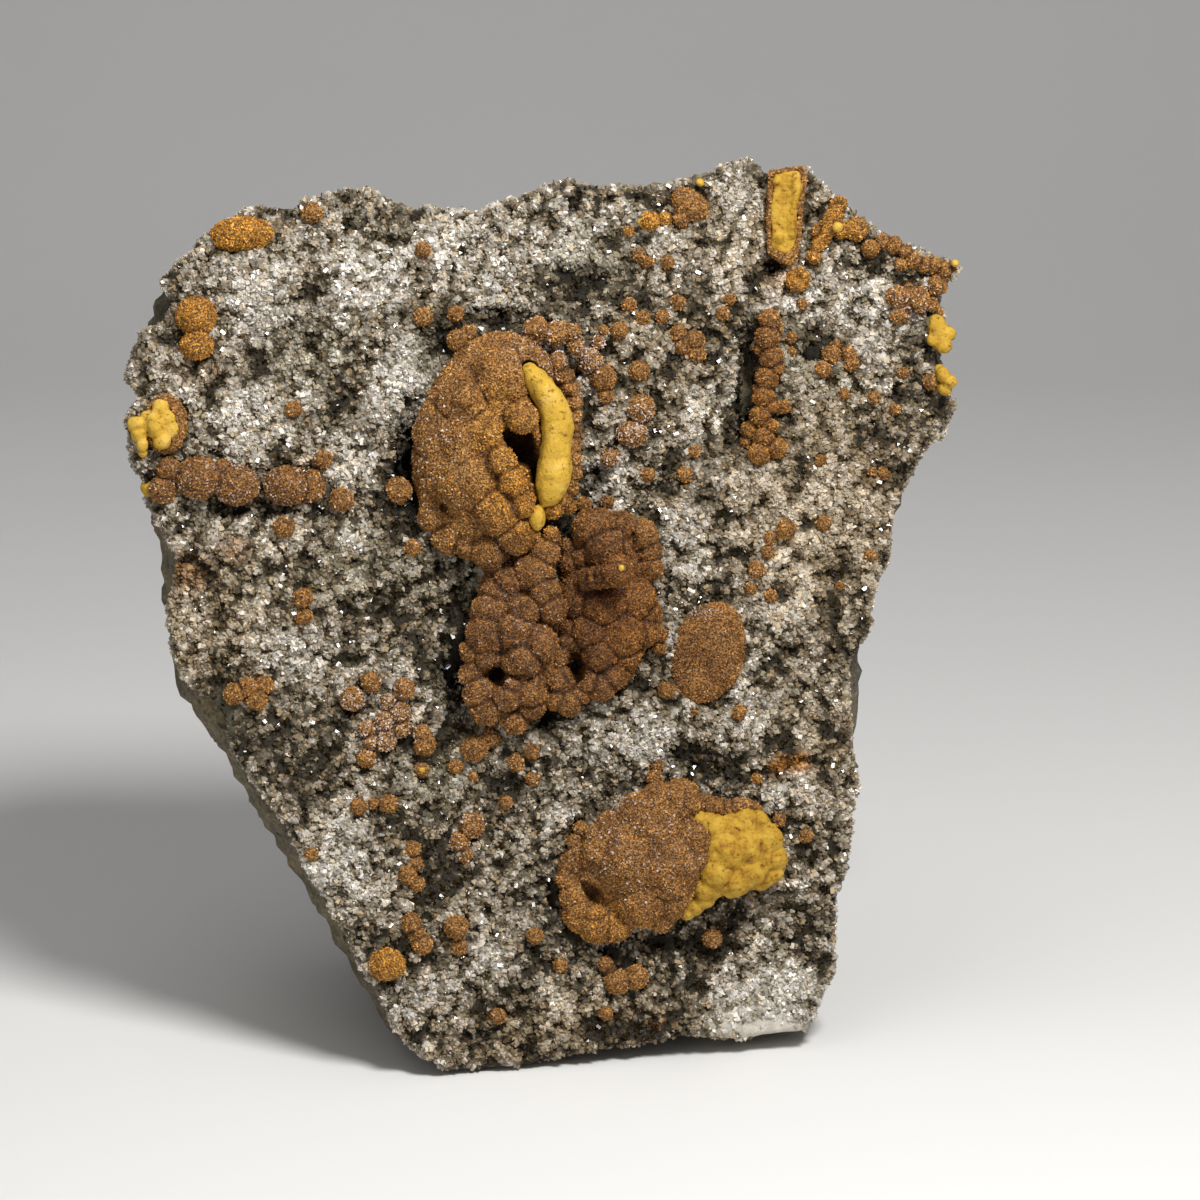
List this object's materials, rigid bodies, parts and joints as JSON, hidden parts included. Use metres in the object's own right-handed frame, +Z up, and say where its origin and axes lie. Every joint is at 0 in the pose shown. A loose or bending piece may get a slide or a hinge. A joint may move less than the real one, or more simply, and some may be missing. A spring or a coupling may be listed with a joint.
{
  "type": "mineral specimen",
  "caption": "Upright mineral specimen: a plate of dark basalt crusted by white heulandite crystals, with brown botryoidal gyrolite broken open to yellow cores.",
  "frame": {"origin": "centre of the bounding box at the flat foot", "axes": "+Z up, the crystal face towards -Y and leaning back 15 degrees, +X to the right of one who looks at that face"},
  "size_m": [0.1662, 0.0926, 0.1745],
  "materials": {
    "basalt": "rough, broken, dull",
    "heulandite": "sugary, glassy crystals",
    "gyrolite": "velvety, finely granular, with small glints",
    "gyrolite_core": "waxy, smooth, pitted"
  },
  "bodies": {
    "root": {"basalt_matrix": "basalt", "heulandite_druse": "heulandite", "gyrolite_dome": "gyrolite", "dome_core": "gyrolite_core", "gyrolite_left_lobe": "gyrolite", "gyrolite_right_lobe": "gyrolite", "gyrolite_disc": "gyrolite", "gyrolite_lower_shell": "gyrolite", "lower_core": "gyrolite_core", "left_pocket_shell": "gyrolite", "left_pocket_core": "gyrolite_core", "tube_shell": "gyrolite", "tube_core": "gyrolite_core", "left_pocket_chip": "gyrolite_core", "gyrolite_finger_row": "gyrolite", "gyrolite_upright_finger": "gyrolite", "broken_tube": "gyrolite", "ridge_knobs": "gyrolite", "ridge_chain": "gyrolite", "right_cluster": "gyrolite", "right_core_upper": "gyrolite_core", "right_core_lower": "gyrolite_core", "top_oval": "gyrolite", "top_left_oval": "gyrolite", "balls_left_notch": "gyrolite", "ball_left_low": "gyrolite", "ball_by_dome": "gyrolite", "balls_left_trio": "gyrolite", "frosted_cluster": "gyrolite", "balls_under_lobe": "gyrolite", "flat_double": "gyrolite", "coarse_ball": "gyrolite", "balls_low_pair": "gyrolite", "balls_bottom": "gyrolite", "balls_by_dome": "gyrolite", "ball_mid": "gyrolite", "ball_mid_frosted": "gyrolite", "balls_top_cluster": "gyrolite", "ring_ball": "gyrolite"}
  },
  "joints": []
}
